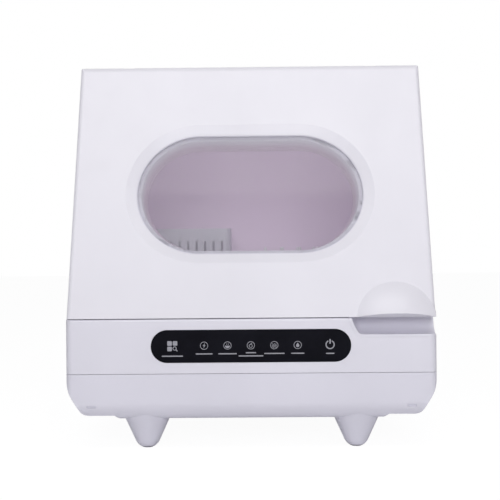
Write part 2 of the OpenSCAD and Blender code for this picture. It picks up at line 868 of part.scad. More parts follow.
module wash_impeller() {
    gap = 1.2;
    color([0.85, 0.85, 0.86]) translate([0, 0, pump_h]) {
        translate([-volute_x - motor_l + 11, 0, 0]) rotate([0, 90, 0])
            cylinder(h = motor_l + 12, r = shaft_r);
        translate([-volute_x + 3 + gap, 0, 0]) rotate([0, 90, 0]) {
            cylinder(h = 4, r = impeller_r);
            for (i = [0:5])
                rotate([0, 0, i * 60]) translate([shaft_r - 1, -1, 2]) cube([impeller_r - shaft_r, 2, 12]);
        }
    }
}

module pump_mounts() {
    color([0.2, 0.2, 0.21]) difference() {
        for (x = [-volute_x - motor_l + 6, -volute_x - 20])
            translate([x, -18, plinth_floor]) cube([7, 36, tray_floor + 15 - plinth_floor]);
        translate([-volute_x - motor_l - 5, 0, pump_h]) rotate([0, 90, 0])
            cylinder(h = motor_l + 10, r = motor_r + 1.55);
    }
}

module suction_hose() {
    left = volute_x + 2;
    right = sump_x - sump_r - 2;
    color([0.15, 0.15, 0.16]) translate([left, 0, pump_h]) rotate([0, 90, 0])
        tube(suction_r + 3, suction_r + 0.05, right - left);
}

module drain_pump_housing() {
    wall = 2.5;
    color([0.3, 0.3, 0.33]) translate([sump_x, drain_y, pump_h]) difference() {
        union() {
            rotate([-90, 0, 0]) cylinder(h = drain_l, r = drain_r);
            translate([0, drain_l / 2, drain_port_h]) rotate([0, -90, 0])
                cylinder(h = sump_x - drain_x - elbow_r, r = 7);
            translate([-6, drain_l / 2 - 7, 8]) cube([12, 14, drain_port_h - 8]);
        }
        translate([0, wall, 0]) rotate([-90, 0, 0])
            cylinder(h = drain_l - 2 * wall, r = drain_r - wall);
        translate([0, -1, 0]) rotate([-90, 0, 0]) cylinder(h = 5, r = 7);
        translate([0, drain_l - 5, 0]) rotate([-90, 0, 0]) cylinder(h = 8, r = shaft_r);
        translate([-3, drain_l / 2, drain_port_h]) rotate([0, -90, 0])
            cylinder(h = sump_x, r = 5);
        translate([-5, drain_l / 2 - 4, 8]) cube([6, 8, drain_port_h - 6]);
    }
}

module drain_pump_motor() {
    color([0.45, 0.46, 0.48]) translate([sump_x, drain_y + drain_l, pump_h]) rotate([-90, 0, 0])
        difference() {
            cylinder(h = drain_motor_l, r = 19);
            translate([0, 0, -1]) cylinder(h = 30, r = drain_shaft_r + run_fit);
        }
}

module drain_impeller() {
    color([0.85, 0.85, 0.86]) translate([sump_x, drain_y + 6, pump_h]) rotate([-90, 0, 0]) {
        cylinder(h = drain_l - 6 + 27, r = drain_shaft_r);
        for (i = [0:3])
            rotate([0, 0, i * 90]) translate([1, -1, 0]) cube([14, 2, 12]);
    }
}

module drain_hose() {
    hose_r = 8;
    run_y = drain_y + drain_l / 2;
    start_x = drain_x + elbow_r;
    color([0.2, 0.2, 0.21]) translate([0, 0, port_h]) {
        translate([start_x, run_y + elbow_r, 0]) rotate([0, 0, 180])
            rotate_extrude(angle = 90) translate([elbow_r, 0]) difference() {
                circle(hose_r);
                circle(hose_r - 3);
            }
        translate([drain_x, run_y + elbow_r, 0]) rotate([-90, 0, 0])
            tube(hose_r, hose_r - 3, back_y - pocket_d - 8 - run_y - elbow_r);
    }
}

module drain_spigot() {
    color([0.25, 0.25, 0.27]) translate([drain_x, back_y - pocket_d - 8, port_h])
        rotate([-90, 0, 0]) difference() {
            union() {
                cylinder(h = 8, r = spigot_r + 4);
                cylinder(h = 8 + pocket_t + 0.5, r = spigot_r + port_boss);
                cylinder(h = 8 + pocket_t + 0.5 + spigot_l, r = spigot_r);
            }
            translate([0, 0, -1]) cylinder(h = 34, r = spigot_r - 3);
        }
}

module inlet_valve() {
    body_l = 34;
    body_y = back_y - pocket_d - body_l;
    color([0.9, 0.9, 0.9]) difference() {
        union() {
            translate([inlet_x - 15, body_y, port_h - valve_half])
                cube([30, body_l, 2 * valve_half]);
            translate([inlet_x, body_y + body_l, port_h]) rotate([-90, 0, 0]) {
                translate([0, 0, -1]) cylinder(h = 2, r = valve_half - 0.5);
                cylinder(h = pocket_t + 0.5, r = inlet_r + port_boss);
                cylinder(h = pocket_t + 0.5 + spigot_l, r = inlet_r);
            }
            translate([inlet_x - 34, body_y + 12, port_h]) rotate([0, 90, 0])
                cylinder(h = 20, r = 11);
        }
        translate([inlet_x, body_y + 12, port_h]) rotate([-90, 0, 0])
            cylinder(h = 60, r = inlet_r - 3.5);
    }
}

module fill_hose() {
    hose_r = 4.9;
    bend = 5.2;
    base_z = port_h + valve_half;
    hose_y = tub_back_y + tub_t + bend;
    top_z = 262;
    color([0.2, 0.2, 0.21]) {
        translate([inlet_x, hose_y, base_z]) cylinder(h = top_z - base_z, r = hose_r);
        translate([inlet_x, hose_y - bend, top_z]) rotate([90, 0, 90])
            rotate_extrude(angle = 90) translate([bend, 0]) circle(hose_r);
    }
}

module cord_gland() {
    color([0.15, 0.15, 0.16]) translate([gland_x, back_y - pocket_d - 3, port_h])
        rotate([-90, 0, 0]) difference() {
            union() {
                cylinder(h = 12, r = gland_bore_r + 3.9);
                translate([0, 0, 3 + pocket_t]) cylinder(h = 3, r = gland_bore_r + 6);
                cylinder(h = 3, r = gland_bore_r + 6);
            }
            translate([0, 0, -1]) cylinder(h = 20, r = gland_bore_r);
        }
}

module power_board() {
    color([0.2, 0.4, 0.22]) translate([board_x, board_y, board_h]) {
        translate([-board_w / 2, -board_d / 2, 0]) cube([board_w, board_d, 1.6]);
        translate([-40, -30, 1]) cube([28, 22, 20]);
        translate([-40, 4, 1]) cube([20, 26, 14]);
        for (i = [0:2])
            translate([4 + i * 15, 18, 1]) cylinder(h = 24, r = 6);
        translate([-2, -32, 1]) cube([42, 18, 10]);
    }
}

module fan_frame() {
    color([0.16, 0.16, 0.18]) translate([fan_x, fan_y, fan_h]) rotate([-90, 0, 0]) {
        difference() {
            linear_extrude(fan_t) rounded_rect(fan_w, fan_w, 5);
            translate([0, 0, -1]) cylinder(h = fan_t + 2, r = fan_w / 2 - 3);
            for (x = [-1, 1], y = [-1, 1])
                translate([x * (fan_w / 2 - 4.5), y * (fan_w / 2 - 4.5), -1])
                    cylinder(h = fan_t + 2, r = 2);
        }
        for (turn = [45, 135])
            rotate([0, 0, turn]) translate([-fan_w / 2 + 1, -2, fan_t - 3]) cube([fan_w - 2, 4, 3]);
        translate([0, 0, fan_t - 3]) cylinder(h = 3, r = 14);
        translate([0, 0, 6]) cylinder(h = fan_t - 8, r = fan_axle_r);
    }
}

module fan_rotor() {
    hub_r = 14;
    blade_n = 7;
    color([0.2, 0.2, 0.22]) translate([fan_x, fan_y + 2, fan_h]) rotate([-90, 0, 0]) difference() {
        union() {
            cylinder(h = fan_t - 6, r = hub_r);
            for (i = [0:blade_n - 1])
                rotate([0, 0, i * 360 / blade_n]) translate([0, 0, 8]) rotate([35, 0, 0])
                    translate([hub_r - 2, -10, -1]) cube([fan_w / 2 - 5 - hub_r, 20, 2]);
        }
        translate([0, 0, 3]) cylinder(h = fan_t, r = fan_axle_r + run_fit);
    }
}

// The door's outer outline seen from the side, down to a given depth
module door_side(depth, inset) {
    low_shift = inset / cos_lean;
    polygon([
        [door_foot(-inset) + low_shift, -inset], [axis_y, -inset], [axis_y, -depth],
        [door_foot(-depth) + low_shift, -depth]
    ]);
}

module door_plan(depth) {
    r = 5;
    intersection() {
        along_x(door_w) {
            door_side(depth, 0);
            translate([axis_y, axis_z]) circle(barrel_r);
        }
        translate([0, 0, -depth - 1]) linear_extrude(depth + 2) {
            translate([-door_w / 2, -1]) square([door_w, axis_y + barrel_r - r]);
            translate([-door_w / 2 + r, 0]) square([door_w - 2 * r, axis_y + barrel_r]);
            for (side = [-1, 1])
                translate([side * (door_w / 2 - r), axis_y + barrel_r - r - 1]) circle(r);
        }
        translate([0, axis_y / 2, 0]) along_y(2 * axis_y) {
            translate([-door_w / 2 + r, -depth]) square([door_w - 2 * r, depth]);
            translate([-door_w / 2, -depth]) square([door_w, depth - r]);
            for (side = [-1, 1])
                translate([side * (door_w / 2 - r), -r]) circle(r);
        }
    }
}

module handle_cap(inset) {
    intersection() {
        translate([bulge_x, bulge_y, bulge_h - cap_r]) sphere(cap_r - inset, $fn = 128);
        translate([-half_w, door_foot(0) + inset, inset > 0 ? -skin - 1 : -0.5])
            cube([half_w + door_w / 2 - inset, 4 * bulge_r, bulge_h + skin + 2]);
    }
}

// Hollow of the door between two places along x, as far up as the hinge edge allows
module door_hollow(x0, x1, top) {
    translate([(x0 + x1) / 2, 0, 0]) intersection() {
        along_x(x1 - x0) door_side(door_d + 1, skin);
        translate([-big / 2, -10, -door_d - 2]) cube([big, top + 10, door_d + 2]);
    }
}

module door_shell() {
    inner = door_w / 2 - skin;
    spans = [[-inner, -web_out], [-web_in, web_in], [web_out, inner]];
    color([0.92, 0.91, 0.94]) on_door() difference() {
        union() {
            difference() {
                door_plan(door_d);
                difference() {
                    union() {
                        door_hollow(-inner, inner, axis_y - barrel_r - 2);
                        for (span = spans) {
                            door_hollow(span[0], span[1], axis_y - eye_r);
                            translate([(span[0] + span[1]) / 2, axis_y, axis_z])
                                rotate([0, 90, 0])
                                    cylinder(h = span[1] - span[0], r = barrel_r - skin, center = true);
                        }
                    }
                    translate([0, window_y, -bevel_d - 6])
                        stadium(window_w - window_h, window_h / 2 + gasket_t + 3,
                            window_h / 2 + bevel_w + skin, bevel_d + 6);
                }
            }
            handle_cap(0);
        }
        handle_cap(skin);
        translate([0, window_y, -bevel_d])
            stadium(window_w - window_h, window_h / 2 + gasket_t, window_h / 2 + bevel_w, bevel_d + eps);
        translate([0, window_y, -door_d - 1])
            stadium(window_w - window_h, window_h / 2 + gasket_t, window_h / 2 + gasket_t, door_d);
        for (side = [-1, 1])
            translate([side * arm_x - slot_w / 2, 0, 0]) {
                translate([0, axis_y, axis_z]) rotate([0, 90, 0]) cylinder(h = slot_w, r = slot_r);
                translate([0, axis_y - slot_r, -door_d - 1])
                    cube([slot_w, barrel_r + slot_r + 2, door_d + 1 + axis_z]);
                translate([0, axis_y, axis_z - 1]) cube([slot_w, barrel_r + 2, slot_r + 1]);
                translate([-boss_w - 1, axis_y, axis_z]) rotate([0, 90, 0])
                    cylinder(h = slot_w + 2 * boss_w + 2, r = pin_r);
            }
    }
}

module door_liner() {
    w = door_w - 3;
    low = door_foot(-door_back) + 2;
    high = axis_y - slot_r - 3;
    tunnel_h = door_back + tunnel_seat;
    color([0.80, 0.78, 0.83]) on_door() difference() {
        union() {
            translate([0, (low + high) / 2, -door_back]) rounded_block(w, high - low, liner_t, 6);
            translate([0, window_y, -door_back])
                stadium(window_w - window_h, window_h / 2 - 3, window_h / 2 - 1, tunnel_h);
        }
        translate([0, window_y, -door_back - eps])
            stadium(window_w - window_h, window_h / 2 - 10, window_h / 2 - 4.5, tunnel_h + 2 * eps);
    }
}

module window_pane() {
    color([0.85, 0.9, 0.92, 0.35]) on_door()
        translate([0, window_y, -bevel_d - pane_t])
            stadium(window_w - window_h, window_h / 2, window_h / 2, pane_t);
}

module window_gasket() {
    ring_h = pane_t + gasket_t - 0.4;
    color([0.35, 0.34, 0.38]) on_door() translate([0, window_y, tunnel_seat]) difference() {
        stadium(window_w - window_h, window_h / 2 + gasket_t - 0.05,
            window_h / 2 + gasket_t - 0.05, ring_h);
        translate([0, 0, gasket_t])
            stadium(window_w - window_h, window_h / 2 + 0.05, window_h / 2 + 0.05, ring_h);
        translate([0, 0, -1])
            stadium(window_w - window_h, window_h / 2 - 4, window_h / 2 - 4, ring_h);
    }
}

module hinge_pins() {
    pin_l = slot_w + 2 * boss_w - 1;
    color([0.8, 0.8, 0.82]) on_door()
        for (side = [-1, 1])
            translate([side * arm_x, axis_y, axis_z]) rotate([0, 90, 0])
                cylinder(h = pin_l, r = pin_r, center = true);
}

module door_magnet() {
    color([0.25, 0.25, 0.27])
        translate([catch_x - 12, front_y + 9, sill_h + seam + skin]) cube([24, 8, 7]);
}

module wire_x(x0, x1, y, z) {
    translate([x0, y, z]) rotate([0, 90, 0]) cylinder(h = x1 - x0, r = wire_r, $fn = 24);
}

module wire_y(x, y0, y1, z) {
    translate([x, y0, z]) rotate([-90, 0, 0]) cylinder(h = y1 - y0, r = wire_r, $fn = 24);
}

// The rack's floor: runners from front to back under cross wires
module rack_frame() {
    half = rack_w / 2;
    color([0.88, 0.88, 0.9]) {
        for (i = [0:runner_n - 1])
            wire_y(-half + 5 + i * (rack_w - 10) / (runner_n - 1), rack_front, rack_back, rack_h);
        for (i = [0:cross_n - 1])
            wire_x(-half, half, rack_front + 6 + i * cross_pitch, cross_z);
    }
}

// The rack's sides stand on the ends of the cross wires
module rack_sides() {
    color([0.88, 0.88, 0.9]) for (side = [-1, 1]) {
        wire_y(side * rack_w / 2, rack_front + 1.5, rack_back - 1.5, rack_rim_z);
        for (i = [0:cross_n - 1])
            translate([side * rack_w / 2, rack_front + 6 + i * cross_pitch, cross_z - 0.4])
                cylinder(h = rack_rim_z - cross_z + 0.4, r = upright_r, $fn = 24);
    }
}

// The rack's ends stand on every second runner
module rack_ends() {
    half = rack_w / 2;
    color([0.88, 0.88, 0.9]) for (y = [rack_front, rack_back]) {
        wire_x(-half, half, y, rack_rim_z);
        for (i = [0:4])
            translate([-half + 5 + i * (rack_w - 10) / 4, y, rack_h - 0.4])
                cylinder(h = rack_side + 0.4, r = upright_r, $fn = 24);
        for (side = [-1, 1])
            translate([side * half, y, rack_rim_z]) sphere(upright_r, $fn = 24);
    }
}

// A row of tines on a bar that lies on the runners, midway between two cross wires
module tine_comb(x0, n, pitch, gap_i, length) {
    bar_h = 2.5;
    base_z = rack_h + wire_r - 0.05;
    y = rack_front + 6 + (gap_i + 0.5) * cross_pitch;
    translate([x0 - 4, y - 2, base_z]) cube([(n - 1) * pitch + 8, 4, bar_h]);
    for (i = [0:n - 1])
        translate([x0 + i * pitch, y, base_z + 1]) {
            cylinder(h = length - 1, r = wire_r, $fn = 24);
            translate([0, 0, length - 1]) sphere(wire_r, $fn = 24);
        }
}

module plate_tines() {
    color([0.88, 0.88, 0.9])
        for (gap_i = [1, 3])
            tine_comb(18, 7, 22, gap_i, tine_l);
}

module bowl_tines() {
    color([0.88, 0.88, 0.9])
        for (gap_i = [1, 2])
            tine_comb(-145, 5, 28, gap_i, 0.6 * tine_l);
}

module cutlery_basket() {
    wall = 2;
    base_z = cross_z + wire_r + 0.3;
    color([0.75, 0.76, 0.8]) translate([basket_x, basket_y, base_z]) difference() {
        translate([basket_w / 2, basket_d / 2, 0]) rounded_block(basket_w, basket_d, basket_high, 8);
        difference() {
            translate([basket_w / 2, basket_d / 2, wall])
                rounded_block(basket_w - 2 * wall, basket_d - 2 * wall, basket_high, 6);
            for (i = [1, 2])
                translate([i * basket_w / 3 - wall / 2, 0, 0]) cube([wall, basket_d, basket_high - 8]);
        }
        for (i = [0:8])
            translate([12 + i * 12 - 1.5, -1, 12]) cube([3, basket_d + 2, basket_high - 30]);
    }
}

bottom_tray();
foot_pads();
base_fascia();
grip_cup();
control_lens();
control_board();
cabinet_shell();
rear_cover();
cover_screws();
hinge_beam();
hinge_arms();
tub_shell();
tub_floor();
door_seal();
rack_rails();
door_switch();
sump_well();
fine_filter();
filter_cup();
spray_hub();
spray_arm();
spray_nut();
heating_element();
wash_pump_housing();
wash_pump_motor();
wash_impeller();
pump_mounts();
suction_hose();
drain_pump_housing();
drain_pump_motor();
drain_impeller();
drain_hose();
drain_spigot();
inlet_valve();
fill_hose();
cord_gland();
power_board();
fan_frame();
fan_rotor();
door_shell();
door_liner();
window_pane();
window_gasket();
hinge_pins();
door_magnet();
rack_frame();
rack_sides();
rack_ends();
plate_tines();
bowl_tines();
cutlery_basket();
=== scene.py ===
import math

import bmesh
import bpy
from mathutils import Matrix, Vector


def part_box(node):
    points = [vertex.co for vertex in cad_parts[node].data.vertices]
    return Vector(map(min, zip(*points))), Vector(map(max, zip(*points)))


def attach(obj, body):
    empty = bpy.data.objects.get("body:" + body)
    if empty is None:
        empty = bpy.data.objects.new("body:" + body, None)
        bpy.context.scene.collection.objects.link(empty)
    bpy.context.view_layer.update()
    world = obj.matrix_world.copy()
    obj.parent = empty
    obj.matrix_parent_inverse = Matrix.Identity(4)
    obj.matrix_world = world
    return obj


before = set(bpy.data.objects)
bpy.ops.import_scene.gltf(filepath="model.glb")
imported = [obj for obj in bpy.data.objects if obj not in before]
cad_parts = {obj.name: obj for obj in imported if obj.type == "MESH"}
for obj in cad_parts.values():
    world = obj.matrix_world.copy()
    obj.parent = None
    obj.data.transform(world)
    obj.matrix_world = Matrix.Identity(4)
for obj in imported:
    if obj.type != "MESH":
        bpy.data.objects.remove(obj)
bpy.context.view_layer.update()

MM = 0.001

# The plane of the fascia's front, and the lens of the control panel
FRONT_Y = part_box("base_fascia")[0].y
LENS_LOW, LENS_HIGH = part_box("control_lens")
LENS_Z = (LENS_LOW.z + LENS_HIGH.z) / 2

# The camera stands a little to the right of the middle and looks level
CAMERA_AWAY = 1.131
CAMERA_X = 0.013
CAMERA_Z = 0.2274
CAMERA_YAW = -0.66
CAMERA_ROLL = -0.50
LENS_MM = 72.23
SENSOR_MM = 36.0

# The door leans back from its foot on the fascia's top
SILL_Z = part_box("base_fascia")[1].z
DOOR_LEAN = math.radians(20)
DOOR_NORMAL = Vector((0, -math.cos(DOOR_LEAN), math.sin(DOOR_LEAN)))

# How far behind the door's face its liner starts to take a painted shade in the tub's mauve, and has all
# of it
LINER_UNSHADED_TO = 11 * MM
LINER_FULL_SHADE_FROM = 20 * MM

# The panel's prints: their thickness and places in metres, and in mm the lines of the small icons
PRINT_T = 0.06 * MM
KEY_X = [i * 26.4 * MM for i in range(-2, 3)]
SELECT_X = -88.7 * MM
POWER_X = 89.3 * MM
KEY_RING_R = 4.5
LINE_W = 0.6

# The label bars, in mm; a label of two rows has a short one below its long one
BAR_H = 1.3
BAR_CORNER = 0.6
ROW_PITCH = 3.6
SHORT_ROW = 0.42

# The strength of the room's light on the object, and of the white that the camera sees
ROOM_LIGHT = 0.27
BACKDROP_WHITE = 1.0
FLOOR_GLOW = 1.06
FLOOR_GLOW_SHARE = 0.9
FLOOR_HALF = 8.0
FLOOR_Z = -0.2 * MM

# The colour sockets of a Mix node, which share their names with its other sockets
MIX_A, MIX_B, MIX_OUT = 6, 7, 2


def linear(rgb):
    """A colour of 0 to 255 as the shader wants it."""
    out = []
    for v in rgb:
        c = v / 255
        out.append(c / 12.92 if c <= 0.04045 else ((c + 0.055) / 1.055) ** 2.4)
    return (*out, 1.0)


def darker(colour, share):
    return (*[c * share for c in colour[:3]], 1.0)


def paler(colour, share):
    return (*[min(1.0, c * share) for c in colour[:3]], 1.0)


# The nodes that the materials are made of
def new_material(name):
    mat = bpy.data.materials.new(name)
    mat.use_nodes = True
    tree = mat.node_tree
    shader = tree.nodes["Principled BSDF"]
    coords = tree.nodes.new("ShaderNodeTexCoord")
    return mat, tree, shader, coords


def noise(tree, coords, scale, detail, stretch=None):
    """Noise in metres of the object, with its grain drawn out along an axis if asked."""
    node = tree.nodes.new("ShaderNodeTexNoise")
    node.inputs["Scale"].default_value = scale
    node.inputs["Detail"].default_value = detail
    place = coords.outputs["Object"]
    if stretch:
        mapping = tree.nodes.new("ShaderNodeMapping")
        mapping.inputs["Scale"].default_value = stretch
        tree.links.new(place, mapping.inputs["Vector"])
        place = mapping.outputs["Vector"]
    tree.links.new(place, node.inputs["Vector"])
    return node.outputs["Fac"]


def spread(tree, value, low, high, start=0.3, end=0.7):
    """Maps a value between start and end, by default a noise's, to a range."""
    node = tree.nodes.new("ShaderNodeMapRange")
    node.inputs["From Min"].default_value = start
    node.inputs["From Max"].default_value = end
    node.inputs["To Min"].default_value = low
    node.inputs["To Max"].default_value = high
    tree.links.new(value, node.inputs["Value"])
    return node.outputs["Result"]


def blend_colour(tree, fac, a, b):
    """The colour a where fac is 0, and b where it is 1."""
    node = tree.nodes.new("ShaderNodeMix")
    node.data_type = "RGBA"
    node.inputs[MIX_A].default_value = a
    node.inputs[MIX_B].default_value = b
    tree.links.new(fac, node.inputs[0])
    return node.outputs[MIX_OUT]


def mottled(tree, value, a, b):
    """Two colours that a noise value mixes."""
    return blend_colour(tree, spread(tree, value, 0, 1), a, b)


def grain_normal(tree, height, strength, distance, edge):
    """A bump, over edges rounded by a small radius."""
    bump = tree.nodes.new("ShaderNodeBump")
    bump.inputs["Strength"].default_value = strength
    bump.inputs["Distance"].default_value = distance
    tree.links.new(height, bump.inputs["Height"])
    if edge:
        bevel = tree.nodes.new("ShaderNodeBevel")
        bevel.samples = 4
        bevel.inputs["Radius"].default_value = edge
        tree.links.new(bevel.outputs["Normal"], bump.inputs["Normal"])
    return bump.outputs["Normal"]


# Materials
def plastic(name, rgb, rough, grain=1500, depth=0.05, edge=0.6 * MM, shade=0.03, specular=0.5):
    """Moulded plastic: a fine spark-eroded grain, faint flow marks and an uneven gloss."""
    mat, tree, shader, coords = new_material(name)
    base = linear(rgb)
    flow = noise(tree, coords, scale=7.0, detail=4.0, stretch=(1.0, 1.0, 0.45))
    colour = mottled(tree, flow, darker(base, 1 - shade), paler(base, 1 + shade))
    tree.links.new(colour, shader.inputs["Base Color"])
    patches = noise(tree, coords, scale=45.0, detail=5.0)
    tree.links.new(spread(tree, patches, rough - 0.05, rough + 0.06), shader.inputs["Roughness"])
    fine = noise(tree, coords, scale=grain, detail=2.0)
    tree.links.new(grain_normal(tree, fine, depth, 0.1 * MM, edge), shader.inputs["Normal"])
    shader.inputs["Specular IOR Level"].default_value = specular
    return mat


def liner_with_painted_shade(name):
    """The door's liner: pale at the window, and darker and mauve towards its back, a painted shade of the
    tunnel behind the window.
    """
    mat = plastic(name, (226, 224, 234), 0.42, 1200, 0.06)
    tree = mat.node_tree
    shader = tree.nodes["Principled BSDF"]
    coords = tree.nodes["Texture Coordinate"]
    depth = tree.nodes.new("ShaderNodeVectorMath")
    depth.operation = "DOT_PRODUCT"
    depth.inputs[1].default_value = DOOR_NORMAL
    tree.links.new(coords.outputs["Object"], depth.inputs[0])
    front = Vector((0, FRONT_Y, SILL_Z)).dot(DOOR_NORMAL)
    shade_depth_fac = spread(tree, depth.outputs["Value"], 1, 0, front - LINER_FULL_SHADE_FROM, front - LINER_UNSHADED_TO)
    pale = shader.inputs["Base Color"].links[0].from_socket
    # Painted shade: deeper behind the window the liner takes a mauve darker than the tub's own colour
    blend = blend_colour(tree, shade_depth_fac, (0, 0, 0, 1), linear((212, 194, 214)))
    tree.links.new(pale, blend.node.inputs[MIX_A])
    tree.links.new(blend, shader.inputs["Base Color"])
    return mat


def rubber(name, rgb):
    """Matt rubber with a coarse grain and a trace of sheen."""
    mat = plastic(name, rgb, 0.62, 900, 0.25, 0.3 * MM, 0.06, 0.35)
    mat.node_tree.nodes["Principled BSDF"].inputs["Sheen Weight"].default_value = 0.08
    return mat


def metal(name, rgb, rough=0.3, stretch=(1.0, 30.0, 30.0)):
    """Drawn or brushed steel, with its lines along one axis."""
    mat, tree, shader, coords = new_material(name)
    base = linear(rgb)
    lines = noise(tree, coords, scale=160.0, detail=6.0, stretch=stretch)
    tree.links.new(mottled(tree, lines, darker(base, 0.86), base), shader.inputs["Base Color"])
    tree.links.new(spread(tree, lines, rough - 0.07, rough + 0.1), shader.inputs["Roughness"])
    tree.links.new(grain_normal(tree, lines, 0.12, 0.05 * MM, 0.3 * MM), shader.inputs["Normal"])
    shader.inputs["Metallic"].default_value = 1.0
    return mat


def gloss_black(name):
    """The panel's cover: deep black with the faintest waviness and a clear hard gloss."""
    mat, tree, shader, coords = new_material(name)
    smoke = noise(tree, coords, scale=30.0, detail=4.0)
    colour = mottled(tree, smoke, linear((12, 12, 19)), linear((19, 19, 27)))
    tree.links.new(colour, shader.inputs["Base Color"])
    smears = noise(tree, coords, scale=12.0, detail=6.0)
    tree.links.new(spread(tree, smears, 0.06, 0.16), shader.inputs["Roughness"])
    tree.links.new(grain_normal(tree, smoke, 0.04, 0.2 * MM, 0.3 * MM), shader.inputs["Normal"])
    shader.inputs["Specular IOR Level"].default_value = 0.06
    return mat


def circuit(name):
    """A printed board: solder mask over copper runs."""
    mat, tree, shader, coords = new_material(name)
    brick = tree.nodes.new("ShaderNodeTexBrick")
    brick.inputs["Scale"].default_value = 95.0
    brick.inputs["Mortar Size"].default_value = 0.03
    brick.inputs["Color1"].default_value = linear((26, 84, 48))
    brick.inputs["Color2"].default_value = linear((30, 96, 54))
    brick.inputs["Mortar"].default_value = linear((70, 130, 80))
    tree.links.new(coords.outputs["Object"], brick.inputs["Vector"])
    tree.links.new(brick.outputs["Color"], shader.inputs["Base Color"])
    patches = noise(tree, coords, scale=120.0, detail=4.0)
    tree.links.new(spread(tree, patches, 0.3, 0.5), shader.inputs["Roughness"])
    tree.links.new(grain_normal(tree, brick.outputs["Fac"], 0.3, 0.1 * MM, 0), shader.inputs["Normal"])
    return mat


def window_glass(name):
    """Clear toughened glass, nearly all of it see-through, with faint haze and roller waves."""
    mat, tree, shader, coords = new_material(name)
    haze = noise(tree, coords, scale=14.0, detail=5.0)
    tint = mottled(tree, haze, linear((196, 190, 204)), linear((208, 204, 214)))
    tree.links.new(tint, shader.inputs["Base Color"])
    tree.links.new(spread(tree, haze, 0.02, 0.06), shader.inputs["Roughness"])
    tree.links.new(grain_normal(tree, haze, 0.02, 0.3 * MM, 0), shader.inputs["Normal"])
    shader.inputs["Alpha"].default_value = 0.14
    shader.inputs["Specular IOR Level"].default_value = 0.6
    return mat


def print_ink(name):
    """The pale ink of the panel's icons, faintly speckled."""
    mat, tree, shader, coords = new_material(name)
    speckle = noise(tree, coords, scale=2600.0, detail=2.0)
    ink = mottled(tree, speckle, linear((132, 132, 142)), linear((168, 168, 176)))
    tree.links.new(ink, shader.inputs["Base Color"])
    tree.links.new(spread(tree, speckle, 0.4, 0.6), shader.inputs["Roughness"])
    return mat


# For each finish, the function that makes it and what that is given after the name:
# plastic takes colour, roughness, grain per metre, grain depth and edge radius; metal takes
# colour, roughness and the stretch of its lines; rubber takes its colour
FINISH = {
    # The door, shell, fascia and tray are one white plastic, stepped slightly darker from the door down
    # to the tray: painted shade on the lower parts
    "door_white": (plastic, (230, 228, 237), 0.34),
    "fascia_white": (plastic, (227, 225, 236), 0.36),
    "tray_white": (plastic, (224, 222, 234), 0.42),
    "shell_white": (plastic, (229, 227, 237), 0.38),
    "pad_rubber": (rubber, (160, 157, 171)),
    "panel_black": (gloss_black,),
    "panel_print": (print_ink,),
    "circuit_green": (circuit,),
    "steel": (metal, (190, 190, 194)),
    "screw_steel": (metal, (176, 176, 182), 0.26, (8.0, 8.0, 8.0)),
    "tub_grey": (plastic, (236, 219, 239), 0.5, 1100, 0.08),
    "liner_grey": (liner_with_painted_shade,),
    "seal_rubber": (rubber, (66, 65, 70)),
    "gasket_pale": (rubber, (216, 214, 226)),
    "dark_plastic": (plastic, (48, 48, 52), 0.5, 1200, 0.1),
    "motor_metal": (metal, (120, 122, 128), 0.42, (3.0, 12.0, 12.0)),
    "impeller_plastic": (plastic, (222, 222, 226), 0.4),
    "spray_grey": (plastic, (160, 163, 172), 0.42, 1200, 0.08),
    "rack_coating": (plastic, (226, 226, 231), 0.3, 700, 0.04, 0),
    "basket_grey": (plastic, (200, 202, 210), 0.42),
    "window_glass": (window_glass,),
}
NODE_FINISH = {
    "bottom_tray": "tray_white", "foot_pads": "pad_rubber", "base_fascia": "fascia_white",
    "grip_cup": "fascia_white", "control_lens": "panel_black", "control_board": "circuit_green",
    "power_board": "circuit_green", "cabinet_shell": "shell_white", "rear_cover": "shell_white",
    "cover_screws": "screw_steel", "hinge_beam": "steel", "hinge_arms": "steel",
    "hinge_pins": "steel", "fine_filter": "steel", "heating_element": "steel",
    "tub_shell": "tub_grey", "tub_floor": "tub_grey", "rack_rails": "tub_grey",
    "door_seal": "seal_rubber", "door_switch": "dark_plastic", "sump_well": "dark_plastic",
    "filter_cup": "spray_grey", "spray_hub": "spray_grey", "spray_arm": "spray_grey",
    "spray_nut": "spray_grey", "wash_pump_housing": "dark_plastic",
    "wash_pump_motor": "motor_metal", "wash_impeller": "impeller_plastic",
    "pump_mounts": "seal_rubber", "suction_hose": "seal_rubber",
    "drain_pump_housing": "dark_plastic", "drain_pump_motor": "motor_metal",
    "drain_impeller": "impeller_plastic", "drain_hose": "seal_rubber",
    "drain_spigot": "dark_plastic", "inlet_valve": "impeller_plastic", "fill_hose": "seal_rubber",
    "cord_gland": "seal_rubber", "fan_frame": "dark_plastic", "fan_rotor": "dark_plastic",
    "door_shell": "door_white", "door_liner": "liner_grey", "window_pane": "window_glass",
    "window_gasket": "gasket_pale", "door_magnet": "motor_metal", "rack_frame": "rack_coating",
    "rack_sides": "rack_coating", "rack_ends": "rack_coating", "plate_tines": "rack_coating",
    "bowl_tines": "rack_coating", "cutlery_basket": "basket_grey",
}
made = {}


def finish(name):
    """The material of a finish, made when it is first asked for."""
    if name not in made:
        maker, *values = FINISH[name]
        made[name] = maker(name, *values)
    return made[name]


def finish_nodes():
    for node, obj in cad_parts.items():
        mat = finish(NODE_FINISH[node])
        for slot in obj.material_slots:
            slot.material = mat


# The panel's prints, drawn in mm in (x, z)
def loop_shape(bm, points, hole=None):
    """A flat face, or a ring between two outlines with as many points each."""
    outer = [bm.verts.new((x, 0, z)) for x, z in points]
    if hole is None:
        bm.faces.new(outer)
        return
    inner = [bm.verts.new((x, 0, z)) for x, z in hole]
    count = len(points)
    for i in range(count if is_closed(points) else count - 1):
        j = (i + 1) % count
        bm.faces.new([outer[i], outer[j], inner[j], inner[i]])


def is_closed(points):
    """A ring is closed unless its ends lie far apart."""
    steps = [math.dist(points[i], points[i + 1]) for i in range(len(points) - 1)]
    return math.dist(points[0], points[-1]) < 2.5 * max(steps)


